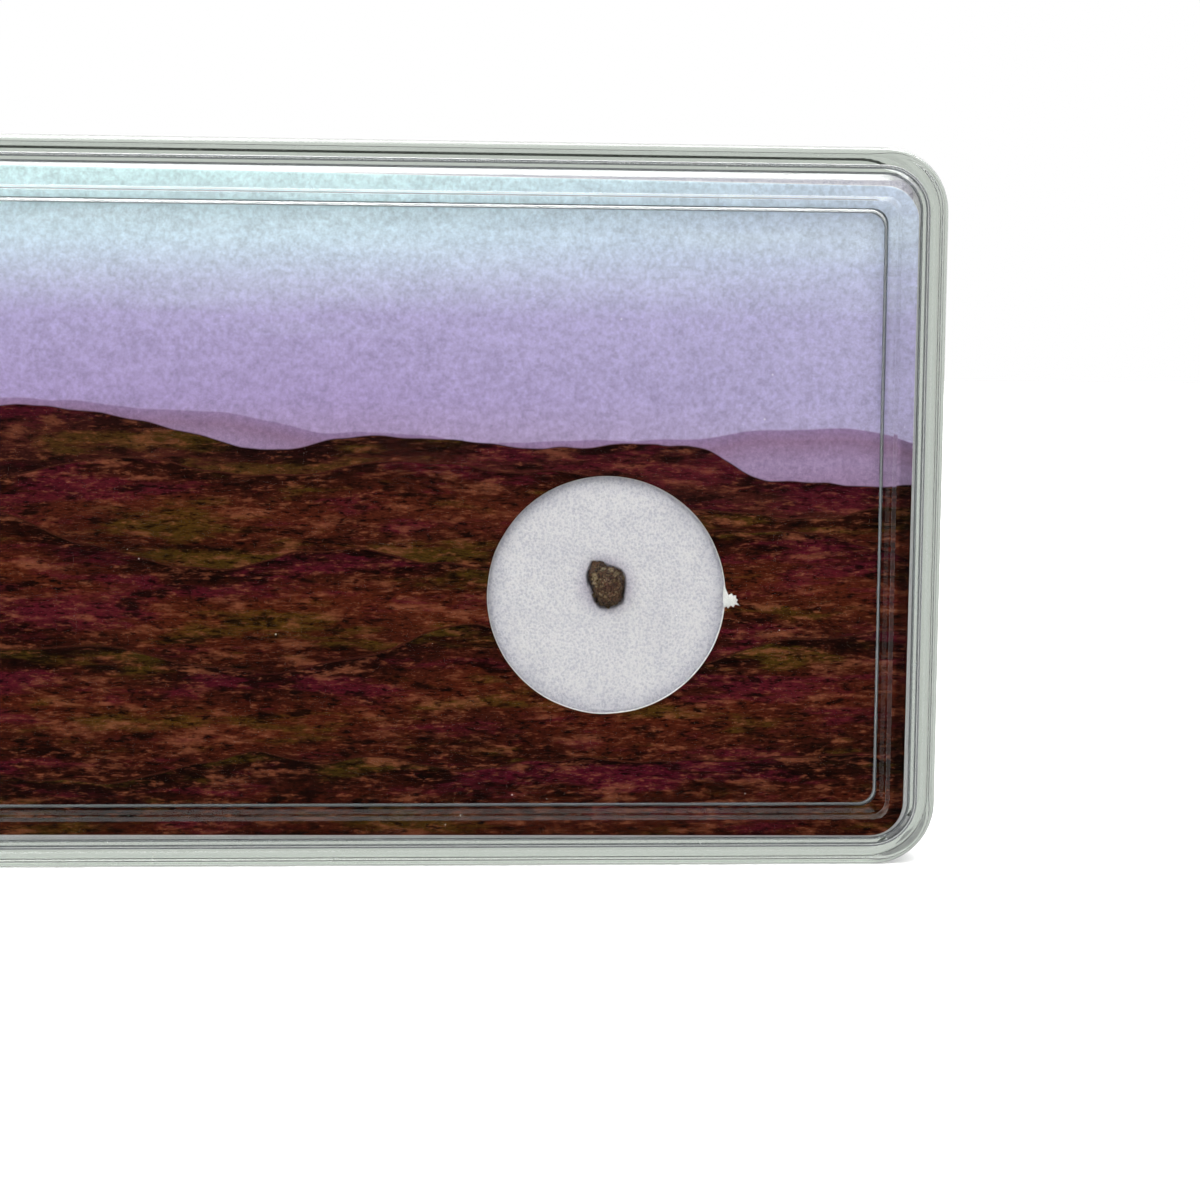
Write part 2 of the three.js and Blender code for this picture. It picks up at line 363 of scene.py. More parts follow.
@dataclass(frozen=True)
class ClearPlastic:
    """Moulded clear plastic: faintly green in depth, with hair scratches, thin haze and specks of dust."""

    name: str
    index: float = 1.5
    tint: Colour = (0.66, 0.72, 0.65)
    tint_density: float = 70.0
    polish: float = 0.012
    scuff: float = 0.09
    clearness: float = 1.0
    body: Colour = (0.985, 0.99, 0.985)
    seed: float = 0.0
    haze: Grain = Grain(0.12, 1.0, 0.6)
    haze_edge: Edge = (0.5, 0.8)
    haze_share: float = 0.5
    dust_scale: float = 0.8
    dust_edge: Edge = (0.045, 0.03)
    dusty_edge: Edge = (0.58, 0.64)
    dust_share: float = 0.4
    dust_colour: Colour = (0.7, 0.69, 0.66)
    scratch: Grain = Grain(1.0, 1.0, 0.4)
    scratch_runs: tuple[tuple[Place, float], ...] = (((0.06, 0.3, 0.9), 3.0), ((0.55, 0.3, 0.08), 11.0))
    scratch_edge: Edge = (0.0022, 0.0008)

    def make(self) -> bpy.types.Material:
        """Builds the material.

        Returns:
            The new material.
        """
        material, g = new_material(self.name)
        point = g.place(shift=(self.seed, self.seed, 0))
        haze = g.noise(point, self.haze)
        speck = g.cells(point, self.dust_scale).outputs["Distance"]
        dust = g.math("MULTIPLY", g.step(speck, *self.dust_edge), g.step(haze, *self.dusty_edge))
        hazy = g.math("MULTIPLY", g.step(haze, *self.haze_edge), self.haze_share * self.scuff)
        rough = g.math("ADD", self.polish, hazy)
        rough = g.math("ADD", rough, g.math("MULTIPLY", self.scratches(g), self.scuff))
        rough = g.math("ADD", rough, g.math("MULTIPLY", dust, self.dust_share))
        output = g.surface(
            Base_Color=g.mix(g.math("MULTIPLY", dust, self.dust_share), self.body, self.dust_colour),
            Transmission_Weight=self.clearness, IOR=self.index, Roughness=rough,
        )
        inside = g.node("VolumeAbsorption")
        g.feed(inside.inputs["Color"], self.tint)
        g.feed(inside.inputs["Density"], self.tint_density)
        g.feed(output.inputs["Volume"], inside.outputs[0])
        return material

    def scratches(self, g: Graph) -> Socket:
        """Draws fine hair scratches, in two directions.

        Args:
            g: the material's graph.

        Returns:
            1 on a scratch and 0 beside it.
        """
        total: Feed = 0.0
        for scale, shift in self.scratch_runs:
            run = g.noise(g.place(scale, (self.seed + shift, 0, 0)), self.scratch)
            line = g.step(g.math("ABSOLUTE", g.math("SUBTRACT", run, 0.5)), *self.scratch_edge)
            total = g.math("ADD", total, line, clamp=True)
        return total


@dataclass(frozen=True)
class Dune:
    """One rank of dunes in the card's print, from a far, hazy one to a near, dark one."""

    base: float
    rise: float
    length: float
    seed: float
    slope: float
    rough: float
    crest: Colour
    light: Colour
    shade: Colour
    depth: float


class Pattern(Enum):
    """What the wind leaves on the printed dunes."""

    DRIFT = "drift"
    LUMP = "lump"
    STREAK = "streak"
    LEDGE = "ledge"


@dataclass(frozen=True)
class Stain:
    """A colour on the dunes, laid where a pattern passes an edge, and how much of it there is."""

    pattern: Pattern
    edge: Edge
    share: float
    colour: Colour


@dataclass(frozen=True)
class DunePrint:
    """The card's print: a pale sky over ranks of wind-worn dunes, on satin paper with ink grain, and painted
    shade at its right edge.
    """

    name: str
    top: float
    sky: tuple[tuple[float, Colour], ...] = (
        (0.0, linear(176, 150, 184)),
        (0.22, linear(178, 159, 205)),
        (0.5, linear(185, 173, 215)),
        (0.62, linear(200, 202, 229)),
        (0.76, linear(213, 231, 245)),
        (1.0, linear(222, 249, 251)),
    )
    skyline: float = 27.0
    # Painted shade along the card's right edge, where the side of the raised window panel shades it.
    edge_shade_from: float = 36.6
    edge_shade_width: float = 0.3
    edge_shade_share: float = 0.55
    evening: Colour = linear(190, 188, 221)
    evening_from: float = 0.0
    evening_to: float = 37.0
    evening_share: float = 0.6
    cloud: Colour = linear(214, 226, 236)
    cloud_grain: Grain = Grain(1.0, 3.0, 0.55)
    cloud_stretch: Place = (0.035, 1.0, 0.3)
    cloud_edge: Edge = (0.5, 0.72)
    cloud_share: float = 0.45
    cloud_above_skyline: float = 5.0
    cloud_below_top: float = 2.0
    dunes: tuple[Dune, ...] = (
        Dune(29.6, 1.4, 0.05, 4.0, -0.030, 3.0, linear(154, 128, 168), linear(166, 142, 178),
             linear(150, 120, 150), 5.0),
        Dune(28.4, 2.2, 0.05, 17.0, -0.050, 3.5, linear(30, 9, 8), linear(70, 30, 24),
             linear(42, 14, 12), 4.0),
        Dune(26.4, 3.0, 0.04, 31.0, -0.030, 3.0, linear(34, 10, 6), linear(82, 34, 20),
             linear(52, 18, 10), 6.0),
        Dune(21.2, 3.0, 0.045, 52.0, -0.010, 3.0, linear(28, 7, 4), linear(84, 34, 18),
             linear(50, 16, 8), 7.0),
        Dune(14.2, 3.0, 0.04, 71.0, 0.012, 3.0, linear(26, 6, 4), linear(78, 30, 16),
             linear(46, 14, 7), 8.0),
        Dune(7.2, 2.2, 0.05, 90.0, -0.012, 3.0, linear(24, 6, 4), linear(70, 26, 13),
             linear(40, 12, 6), 8.0),
    )
    crest_rough: float = 0.4
    crest_edge: Edge = (-0.06, 0.08)
    shade_place: float = 0.16
    light_place: float = 0.45
    ground_edge: Edge = (0.5, 1.5)
    near_edge: Edge = (0.8, 2.4)
    rank_shift: Edge = (31.7, 13.1)
    drift: Grain = Grain(1.0, 5.0, 0.68)
    drift_stretch: Place = (0.07, 1.0, 0.4)
    lump: Grain = Grain(1.0, 4.0, 0.7)
    lump_stretch: Place = (0.3, 1.0, 1.1)
    streak: Grain = Grain(1.0, 3.0, 0.75)
    streak_stretch: Place = (0.95, 1.0, 3.6)
    maroon: Colour = linear(92, 18, 40)
    olive: Colour = linear(80, 64, 14)
    dust: Colour = linear(140, 80, 56)
    shadow: Colour = linear(14, 3, 2)
    stains: tuple[Stain, ...] = (
        Stain(Pattern.DRIFT, (0.52, 0.62), 0.62, maroon),
        Stain(Pattern.DRIFT, (0.47, 0.37), 0.55, olive),
        Stain(Pattern.LUMP, (0.53, 0.68), 0.6, dust),
        Stain(Pattern.LUMP, (0.47, 0.34), 0.85, shadow),
        Stain(Pattern.STREAK, (0.54, 0.72), 0.65, dust),
        Stain(Pattern.STREAK, (0.47, 0.33), 0.9, shadow),
        Stain(Pattern.LEDGE, (0.02, 0.0), 0.6, shadow),
    )
    ink: Grain = Grain(3.4, 2.0, 0.7)
    ink_share: float = 0.17
    fibre: Grain = Grain(1.2, 2.0, 0.65)
    fibre_stretch: Place = (0.7, 1.0, 1.3)
    fibre_share: float = 0.06
    satin: Edge = (0.6, 0.72)
    gloss: float = 0.03

    def make(self) -> bpy.types.Material:
        """Builds the material.

        Returns:
            The new material.
        """
        material, g = new_material(self.name)
        across, _, up = g.axes(g.place())
        colour = g.ramp(g.span(up, self.skyline, self.top, 0.0, 1.0), self.sky)
        evening = g.span(across, self.evening_from, self.evening_to, 0.0, self.evening_share)
        colour = self.clouds(g, g.mix(evening, colour, self.evening), up)
        rank: Feed = 0.0
        for number, dune in enumerate(self.dunes):
            inside, body = self.dune_body(g, dune, across, up)
            colour = g.mix(inside, colour, body)
            rank = g.math("MULTIPLY_ADD", g.math("SUBTRACT", float(number + 1), rank), inside, rank)
        colour = self.wind_worn(g, colour, rank)
        ink = g.noise(g.place(), self.ink)
        fibre = g.noise(g.place(self.fibre_stretch), self.fibre)
        light = g.math(
            "ADD", g.span(ink, *NOISE_SPAN, 1 - self.ink_share, 1 + self.ink_share),
            g.span(fibre, *NOISE_SPAN, -self.fibre_share, self.fibre_share),
        )
        # Painted shade: the ground darkens along the card's right edge, where the side of the raised window
        # panel shades it.
        edge_shade = g.step(across, self.edge_shade_from, self.edge_shade_from + self.edge_shade_width)
        edge_shade = g.math("MULTIPLY", edge_shade, g.step(rank, *self.ground_edge))
        light = g.math("MULTIPLY", light, g.math("MULTIPLY_ADD", edge_shade, -self.edge_shade_share, 1.0))
        toned = g.node("VectorMath", operation="SCALE")
        g.feed(toned.inputs[0], colour)
        g.feed(toned.inputs["Scale"], light)
        g.surface(
            Base_Color=toned.outputs[0], Roughness=g.span(fibre, *NOISE_SPAN, *self.satin),
            Specular_IOR_Level=self.gloss,
        )
        return material

    def clouds(self, g: Graph, colour: Socket, up: Socket) -> Socket:
        """Lays thin, level veils of cloud over the sky.

        Args:
            g: the material's graph.
            colour: the sky.
            up: height on the card.

        Returns:
            The sky with its clouds.
        """
        veil = g.step(g.noise(g.place(self.cloud_stretch), self.cloud_grain), *self.cloud_edge)
        high = g.step(up, self.skyline + self.cloud_above_skyline, self.top - self.cloud_below_top)
        share = g.math("MULTIPLY", g.math("MULTIPLY", veil, high), self.cloud_share)
        return g.mix(share, colour, self.cloud)

    def dune_body(self, g: Graph, dune: Dune, across: Socket, up: Socket) -> tuple[Socket, Socket]:
        """Draws one rank of dunes.

        Args:
            g: the material's graph.
            dune: the rank.
            across: distance along the card.
            up: height on the card.

        Returns:
            Where the rank is, from 0 to 1, and its plain colour.
        """
        along = g.node("CombineXYZ")
        g.feed(along.inputs[0], across)
        g.feed(along.inputs[1], dune.seed)
        swell = g.noise(along.outputs[0], Grain(dune.length, dune.rough, self.crest_rough))
        lie = g.math("MULTIPLY_ADD", across, dune.slope, dune.base)
        crest = g.math("ADD", lie, g.span(swell, *NOISE_SPAN, -dune.rise, dune.rise))
        below = g.math("SUBTRACT", crest, up)
        down = g.span(below, 0.0, dune.depth, 0.0, 1.0)
        body = g.ramp(down, (
            (0.0, dune.crest), (self.shade_place, dune.shade),
            (self.light_place, dune.light), (1.0, dune.shade),
        ))
        return g.step(below, *self.crest_edge), body

    def wind_worn(self, g: Graph, body: Socket, rank: Socket) -> Socket:
        """Adds drifts of coloured sand, lumps, streaks and dark ledges to the dunes.

        Args:
            g: the material's graph.
            body: the plain colours.
            rank: which rank of dunes a point lies on, 0 for the sky.

        Returns:
            The finished colours.
        """
        near = g.step(rank, *self.near_edge)
        apart = g.node("CombineXYZ")
        for socket, shift in zip((apart.inputs[0], apart.inputs[2]), self.rank_shift):
            g.feed(socket, g.math("MULTIPLY", rank, shift))

        def worn(stretch: Place, grain: Grain) -> Socket:
            """Makes noise on the ground that is shifted from rank to rank.

            Args:
                stretch: what each axis is multiplied by; a small number draws the noise out.
                grain: the noise's scale, layers and strength.

            Returns:
                The noise.
            """
            shifted = g.node("VectorMath", operation="ADD")
            g.feed(shifted.inputs[0], g.place(stretch))
            g.feed(shifted.inputs[1], apart.outputs[0])
            return g.noise(shifted.outputs[0], grain)

        lump = worn(self.lump_stretch, self.lump)
        patterns = {
            Pattern.DRIFT: worn(self.drift_stretch, self.drift),
            Pattern.LUMP: lump,
            Pattern.STREAK: worn(self.streak_stretch, self.streak),
            Pattern.LEDGE: g.math("ABSOLUTE", g.math("SUBTRACT", lump, 0.5)),
        }
        for stain in self.stains:
            laid = g.math("MULTIPLY", g.step(patterns[stain.pattern], *stain.edge), stain.share)
            body = g.mix(g.math("MULTIPLY", laid, near), body, stain.colour)
        return body


@dataclass(frozen=True)
class WhitePaper:
    """Bare card: the cut edges, the back and the torn fibres beside the hole."""

    name: str
    colour: Colour = linear(250, 249, 247)
    shade: float = 0.86
    fibre: Grain = Grain(3.0, 5.0, 0.7)
    fibre_stretch: Place = (1.0, 2.5, 1.0)
    fibre_edge: Edge = (0.35, 0.65)
    roughness: Edge = (0.75, 0.9)
    gloss: float = 0.25
    relief: float = 0.03
    relief_share: float = 0.7

    def make(self) -> bpy.types.Material:
        """Builds the material.

        Returns:
            The new material.
        """
        material, g = new_material(self.name)
        fibre = g.noise(g.place(self.fibre_stretch), self.fibre)
        shaded = tuple(self.shade * level for level in self.colour)
        g.surface(
            Base_Color=g.mix(g.step(fibre, *self.fibre_edge), shaded, self.colour),
            Roughness=g.span(fibre, *NOISE_SPAN, *self.roughness), Specular_IOR_Level=self.gloss,
            Normal=g.bump(fibre, self.relief, self.relief_share),
        )
        return material


@dataclass(frozen=True)
class SoftFoam:
    """Fine white foam: a felted grain of tiny cells, with faintly blue painted shade in its hollows, by the
    hole's rim and round the stone.
    """

    name: str
    hole_x: float
    hole_z: float
    hole_radius: float
    stone_z: float
    face_y: float
    plain: Colour = linear(248, 248, 248)
    bright: Colour = linear(236, 233, 236)
    # The next three colours are painted shade: in the grain's hollows, inside the hole's rim and round the
    # stone.
    hollow_shade: Colour = linear(206, 204, 214)
    shaded: Colour = linear(231, 231, 238)
    # Painted shade round the stone, where it sits in the pad.
    pressed: Colour = linear(224, 219, 230)
    felt: Grain = Grain(4.2, 2.0, 0.7)
    felt_share: float = 0.7
    cell_scale: float = 6.0
    cell_share: float = 0.4
    hollow_shade_edge: Edge = (0.34, 0.68)
    cloud: Grain = Grain(0.5, 1.0, 0.5)
    cloud_share: float = 0.2
    front_edge: Edge = (2.5, 1.5)
    rim_shade_edge: Edge = (-1.5, 0.3)
    stone_shade_edge: Edge = (2.5, 1.1)
    roughness: float = 0.95
    gloss: float = 0.15
    sheen: float = 0.15
    sheen_roughness: float = 0.6
    relief: float = 0.1
    relief_share: float = 0.8

    def make(self) -> bpy.types.Material:
        """Builds the material.

        Returns:
            The new material.
        """
        material, g = new_material(self.name)
        point = g.place()
        felt = g.noise(point, self.felt)
        cell = g.cells(point, self.cell_scale).outputs["Distance"]
        cloud = g.noise(point, self.cloud)
        height = g.math(
            "ADD", g.math("MULTIPLY", felt, self.felt_share), g.math("MULTIPLY", cell, self.cell_share),
        )
        uneven = g.span(cloud, *NOISE_SPAN, -self.cloud_share, self.cloud_share)
        # Partly painted shade, darker in the grain's hollows, and partly a tone that varies at random with
        # the cloud noise.
        shade = g.math("ADD", g.step(height, *self.hollow_shade_edge), uneven, clamp=True)
        across, along, up = g.axes(point)
        front = g.step(along, *(self.face_y + depth for depth in self.front_edge))
        # Painted shade in a ring just inside the hole, where the card shades the foam.
        rim = g.step(
            self.reach(g, across, up, self.hole_z), *(self.hole_radius + reach for reach in self.rim_shade_edge),
        )
        # Painted shade round the stone, fading with distance from its middle.
        dent = g.step(self.reach(g, across, up, self.stone_z), *self.stone_shade_edge)
        colour = g.mix(rim, g.mix(shade, self.hollow_shade, self.bright), self.shaded, "MULTIPLY")
        colour = g.mix(dent, colour, self.pressed, "MULTIPLY")
        rest = g.mix(shade, self.hollow_shade, self.plain)
        g.surface(
            Base_Color=g.mix(front, rest, colour), Roughness=self.roughness, Specular_IOR_Level=self.gloss,
            Sheen_Weight=self.sheen, Sheen_Roughness=self.sheen_roughness,
            Normal=g.bump(height, self.relief, self.relief_share),
        )
        return material

    def reach(self, g: Graph, across: Socket, up: Socket, middle_z: float) -> Socket:
        """Measures how far a point lies from a line that runs straight into the hole.

        Args:
            g: the material's graph.
            across: distance along the box.
            up: height on the box.
            middle_z: the line's height.

        Returns:
            The distance, in millimetres.
        """
        flat = g.node("CombineXYZ")
        g.feed(flat.inputs[0], g.math("SUBTRACT", across, self.hole_x))
        g.feed(flat.inputs[1], g.math("SUBTRACT", up, middle_z))
        away = g.node("VectorMath", operation="LENGTH")
        g.feed(away.inputs[0], flat.outputs[0])
        return away.outputs["Value"]


@dataclass(frozen=True)
class Patch:
    """A patch of one mineral on the stone: its place from the stone's middle, its reach and its share."""

    x: float
    y: float
    z: float
    reach: float
    share: float
    colour: Colour


@dataclass(frozen=True)
class CrystallineRock:
    """Coarse dark rock: grains of olive, brown and near-black, a few of them pale, some glinting, and
    painted shade in low spots.
    """

    name: str
    middle: Vector
    grains: tuple[tuple[float, Colour], ...] = (
        (0.0, linear(22, 14, 10)),
        (0.2, linear(58, 38, 27)),
        (0.42, linear(106, 72, 55)),
        (0.64, linear(96, 76, 52)),
        (0.82, linear(140, 116, 84)),
        (1.0, linear(190, 170, 132)),
    )
    patches: tuple[Patch, ...] = (
        Patch(0.15, -1.0, -0.2, 0.9, 0.4, linear(112, 72, 58)),
        Patch(-0.75, -0.5, 1.35, 0.4, 0.75, linear(34, 28, 16)),
        Patch(0.1, -0.8, -1.45, 0.5, 0.5, linear(52, 44, 26)),
        Patch(1.2, -0.4, -0.5, 0.5, 0.75, linear(24, 15, 12)),
        Patch(-0.85, -0.5, 0.55, 0.36, 0.75, linear(172, 150, 112)),
        Patch(-0.3, -0.6, 1.2, 0.26, 0.75, linear(178, 162, 126)),
        Patch(0.2, -0.6, 1.12, 0.26, 0.75, linear(172, 154, 120)),
        Patch(0.62, -0.6, 0.86, 0.24, 0.7, linear(160, 138, 106)),
        Patch(0.0, -1.1, 0.38, 0.26, 0.5, linear(140, 112, 96)),
    )
    patch_grain: Grain = Grain(4.0, 4.0, 0.7)
    patch_span: Edge = (0.25, 0.75)
    patch_ragged: float = 0.5
    patch_edge: Edge = (1.1, 0.55)
    wander_scale: float = 3.0
    wander: float = 0.18
    large_scale: float = 3.2
    large_share: float = 0.55
    small_scale: float = 9.0
    small_share: float = 0.42
    seam: Colour = linear(18, 12, 9)
    seam_edge: Edge = (0.09, 0.0)
    seam_share: float = 0.75
    # Painted shade for the low spots of the bump.
    sunk_shade: Colour = linear(22, 15, 11)
    sunk_shade_grain: Grain = Grain(8.0, 4.0, 0.75)
    sunk_shade_edge: Edge = (0.5, 0.36)
    glint_span: Edge = (0.55, 1.0)
    roughness: Edge = (0.62, 0.25)
    gloss: float = 0.3
    relief: float = 0.05
    relief_share: float = 0.8
    grain_height: float = 0.5
    sunk_height: float = 0.5

    def make(self) -> bpy.types.Material:
        """Builds the material.

        Returns:
            The new material.
        """
        material, g = new_material(self.name)
        point = g.place(shift=tuple(-value for value in self.middle))
        bent = self.bent(g, point)
        large = g.cells(bent, self.large_scale)
        small = g.cells(bent, self.small_scale)
        pick, _, _ = g.axes(large.outputs["Color"])
        fine, sparkle, _ = g.axes(small.outputs["Color"])
        value = g.math(
            "ADD", g.math("MULTIPLY", pick, self.large_share), g.math("MULTIPLY", fine, self.small_share),
        )
        colour = g.ramp(value, self.grains)
        for patch in self.patches:
            colour = self.spread(g, patch, point, colour)
        seam = g.cells(bent, self.large_scale, "DISTANCE_TO_EDGE").outputs["Distance"]
        colour = g.mix(g.math("MULTIPLY", g.step(seam, *self.seam_edge), self.seam_share), colour, self.seam)
        # Painted shade: one noise both sinks the bump's low spots and darkens them.
        sunk_shade = g.noise(point, self.sunk_shade_grain)
        colour = g.mix(g.step(sunk_shade, *self.sunk_shade_edge), colour, self.sunk_shade)
        height = g.math(
            "ADD", g.math("MULTIPLY", fine, self.grain_height), g.math("MULTIPLY", sunk_shade, self.sunk_height),
        )
        g.surface(
            Base_Color=colour, Roughness=g.span(sparkle, *self.glint_span, *self.roughness),
            Specular_IOR_Level=self.gloss, Normal=g.bump(height, self.relief, self.relief_share),
        )
        return material

    def bent(self, g: Graph, point: Socket) -> Socket:
        """Shifts a place a little this way and that, so that the grains' edges aren't straight.

        Args:
            g: the material's graph.
            point: the place from the stone's middle.

        Returns:
            The shifted place.
        """
        wander = g.node("TexNoise")
        g.feed(wander.inputs["Vector"], point)
        g.feed(wander.inputs["Scale"], self.wander_scale)
        shift = g.node("VectorMath", operation="SCALE")
        g.feed(shift.inputs[0], wander.outputs["Color"])
        g.feed(shift.inputs["Scale"], self.wander)
        shifted = g.node("VectorMath", operation="ADD")
        g.feed(shifted.inputs[0], point)
        g.feed(shifted.inputs[1], shift.outputs[0])
        return shifted.outputs[0]

    def spread(self, g: Graph, patch: Patch, point: Socket, colour: Socket) -> Socket:
        """Lays a ragged patch of one mineral over the stone.

        Args:
            g: the material's graph.
            patch: the patch.
            point: the place from the stone's middle.
            colour: the colour so far.

        Returns:
            The colour with the patch.
        """
        away = g.node("VectorMath", operation="DISTANCE")
        g.feed(away.inputs[0], point)
        g.feed(away.inputs[1], (patch.x, patch.y, patch.z))
        uneven = g.noise(point, self.patch_grain)
        ragged = g.span(uneven, *self.patch_span, -self.patch_ragged, self.patch_ragged)
        near = g.math("MULTIPLY_ADD", ragged, patch.reach, away.outputs["Value"])
        inside = g.step(near, *(edge * patch.reach for edge in self.patch_edge))
        return g.mix(g.math("MULTIPLY", inside, patch.share), colour, patch.colour)


@dataclass(frozen=True)
class PaleFloor:
    """The plain pale floor that the object stands on."""

    name: str
    colour: Colour = (0.9, 0.9, 0.9)
    roughness: float = 0.9

    def make(self) -> bpy.types.Material:
        """Builds the material.

        Returns:
            The new material.
        """
        material, g = new_material(self.name)
        g.surface(Base_Color=self.colour, Roughness=self.roughness, Specular_IOR_Level=0.0)
        return material


def add_piece(name: str, mesh: bpy.types.Mesh, materials: Iterable[bpy.types.Material],
              stands_for: Optional[str] = None) -> bpy.types.Object:
    """Puts a mesh in the scene as a piece of the object.

    Args:
        name: the piece's name.
        mesh: its mesh, in metres.
        materials: what it is finished with.
        stands_for: the frame's solid that it replaces.

    Returns:
        The piece.
    """
    piece = bpy.data.objects.new(name, mesh)
    bpy.context.scene.collection.objects.link(piece)
    for material in materials:
        mesh.materials.append(material)
    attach(piece, BODY)
    if stands_for is not None:
        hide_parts(stands_for)
    log.info("%s: %d faces", name, len(mesh.polygons))
    return piece


def smooth_mesh(shape: bmesh.types.BMesh, name: str) -> bpy.types.Mesh:
    """Turns a closed shape into a smoothly shaded mesh whose faces all look outwards.

    Args:
        shape: the shape, which is used up.
        name: the mesh's name.

    Returns:
        The mesh.
    """
    bmesh.ops.recalc_face_normals(shape, faces=shape.faces[:])
    for face in shape.faces:
        face.smooth = True
    mesh = bpy.data.meshes.new(name)
    shape.to_mesh(mesh)
    shape.free()
    return mesh


@dataclass(frozen=True)
class Bend:
    """A corner of a ringed solid's section: inset, depth, rounding's reach, and whether it has painted
    shade.
    """

    inset: float
    depth: float
    radius: float = 0.0
    bend_shade: BendShade = BendShade.POLISHED


@dataclass(frozen=True)
class Level:
    """One ring of a solid: its inset, its depth and whether the strip after it has painted shade."""

    inset: float
    depth: float
    shade_painted: bool


@dataclass
class RoundedBox:
    """A solid whose every level is the same rounded rectangle, more or less inset."""

    half_width: float
    half_height: float
    corner: float
    wall_corner: tuple[float, float]
    panel_corners: tuple[tuple[float, float], ...]
    corner_steps: int = 12
    arc_steps: int = 5
    support: float = 0.06

    def corner_at(self, inset: float) -> float:
        """Gives the corner radius of the level at an inset.

        Args:
            inset: how far inside the outline the level lies.

        Returns:
            The radius.
        """
        wall_inset, wall_radius = self.wall_corner
        if inset <= wall_inset:
            return self.corner - inset
        places = [wall_inset, *(place for place, _ in self.panel_corners)]
        radii = [wall_radius, *(radius for _, radius in self.panel_corners)]
        return float(np.interp(inset, places, radii))

    def ring(self, inset: float) -> Ring:
        """Walks once round the level at an inset.

        Args:
            inset: how far inside the outline it lies.

        Returns:
            Its points, as x and z from the middle.
        """
        radius = self.corner_at(inset)
        x = self.half_width - inset - radius
        z = self.half_height - inset - radius
        points: Ring = []
        for quarter, (sign_x, sign_z) in enumerate(((1, 1), (-1, 1), (-1, -1), (1, -1))):
            for step in range(self.corner_steps + 1):
                angle = (quarter + step / self.corner_steps) * math.pi / 2
                points.append((sign_x * x + radius * math.cos(angle), sign_z * z + radius * math.sin(angle)))
        return points

    def section(self, bends: Sequence[Bend]) -> list[Level]:
        """Rounds the bends of a section.

        Args:
            bends: the corners, from the middle of one cap to the middle of the other.

        Returns:
            Every level of the solid.
        """
        levels: list[Level] = []
        for before, bend, after in zip(bends, bends[1:], bends[2:]):
            here = Vector((bend.inset, bend.depth))
            back = (Vector((before.inset, before.depth)) - here).normalized()
            on = (Vector((after.inset, after.depth)) - here).normalized()
            start = here + back * bend.radius
            end = here + on * bend.radius
            support = min(self.support, 0.5 * bend.radius)
            shade_painted = bend.bend_shade is BendShade.PAINTED_SHADE
            levels.append(Level(*(start + back * support), shade_painted))
            for step in range(self.arc_steps + 1):
                share = step / self.arc_steps
                levels.append(Level(*start.lerp(here, share).lerp(here.lerp(end, share), share), shade_painted))
            levels.append(Level(*(end + on * support), False))
        return levels

    def mesh(self, name: str, bends: Sequence[Bend]) -> bpy.types.Mesh:
        """Skins the levels of a section.

        Args:
            name: the mesh's name.
            bends: the section, whose first and last bend lie in the caps.

        Returns:
            A closed, smooth mesh in metres, with its strips of painted shade on the second material.
        """
        shape = bmesh.new()
        rings = []
        levels = self.section(bends)
        for level in levels:
            rings.append([
                shape.verts.new((x * MM, level.depth * MM, (z + self.half_height) * MM))
                for x, z in self.ring(level.inset)
            ])
        for level, low, high in zip(levels, rings, rings[1:]):
            count = len(low)
            for i in range(count):
                face = shape.faces.new((low[i], low[(i + 1) % count], high[(i + 1) % count], high[i]))
                face.material_index = int(level.shade_painted)
        shape.faces.new(reversed(rings[0]))
        shape.faces.new(rings[-1])
        return smooth_mesh(shape, name)


